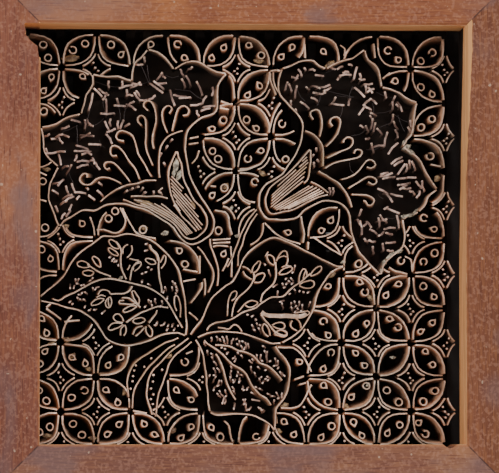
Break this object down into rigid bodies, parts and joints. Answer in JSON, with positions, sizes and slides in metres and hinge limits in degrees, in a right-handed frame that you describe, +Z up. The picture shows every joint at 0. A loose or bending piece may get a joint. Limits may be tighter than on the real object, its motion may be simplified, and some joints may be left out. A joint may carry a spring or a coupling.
{
  "type": "batik stamp in a box frame",
  "caption": "Batik stamp of soldered copper strips with a flower and leaf bouquet on a kawung ground, held in a deep mitred wooden box frame with a grip behind and hanging rings.",
  "frame": {"origin": "middle of the box frame's footprint, on the surface it stands on", "axes": "+Z up, -Y out of the printing face towards the viewer, +X to the viewer's right"},
  "size_m": [0.2716, 0.0992, 0.2685],
  "materials": {
    "mahogany": "waxed reddish brown",
    "black_board": "painted matt black",
    "plated_steel": "zinc plated",
    "screw_brass": "bright",
    "lattice_copper": "dark tarnished copper",
    "plate_copper": "dark tarnished copper with wax",
    "strip_copper": "worn copper, bright on its edges",
    "pin_copper": "worn copper wire",
    "grip_wood": "hand worn"
  },
  "bodies": {
    "display": {"rail_top": "mahogany", "rail_bottom": "mahogany", "rail_left": "mahogany", "rail_right": "mahogany", "lining_board_top": "black_board", "lining_board_bottom": "black_board", "bead_top": "black_board", "bead_bottom": "black_board", "bead_left": "black_board", "bead_right": "black_board", "hanger_strap_left": "plated_steel", "hanger_strap_right": "plated_steel", "hanger_screws": "screw_brass", "lattice_uprights": "lattice_copper", "lattice_crossbars": "lattice_copper", "flower_plate_left": "plate_copper", "flower_plate_right": "plate_copper", "leaf_plate_left": "plate_copper", "leaf_plate_right": "plate_copper", "fern_plate": "plate_copper", "kawung_petals": "strip_copper", "kawung_rings": "strip_copper", "star_strips": "strip_copper", "star_pins": "pin_copper", "flower_rim_left": "strip_copper", "flower_rim_right": "strip_copper", "tulip_left": "strip_copper", "tulip_right": "strip_copper", "tulip_hatching": "strip_copper", "stamens": "strip_copper", "flower_pins": "pin_copper", "stems": "strip_copper", "leaf_rims": "strip_copper", "leaf_branches": "strip_copper", "leaflets": "strip_copper", "leaf_pins": "pin_copper", "fern_strips": "strip_copper", "fern_pins": "pin_copper", "narrow_leaves": "strip_copper", "narrow_leaf_pins": "pin_copper", "handle_leg_left": "lattice_copper", "handle_leg_right": "lattice_copper", "handle_grip": "grip_wood"},
    "ring_left": {"hanger_ring_left": "plated_steel"},
    "ring_right": {"hanger_ring_right": "plated_steel"}
  },
  "joints": [
    {"name": "ring_left_hinge", "type": "hinge", "parent": "display", "child": "ring_left", "pos_m": [-0.12455, 0.0472, 0.203], "axis": [1, 0, 0], "range_deg": [0, 175]},
    {"name": "ring_right_hinge", "type": "hinge", "parent": "display", "child": "ring_right", "pos_m": [0.12455, 0.0472, 0.203], "axis": [1, 0, 0], "range_deg": [0, 175]}
  ]
}
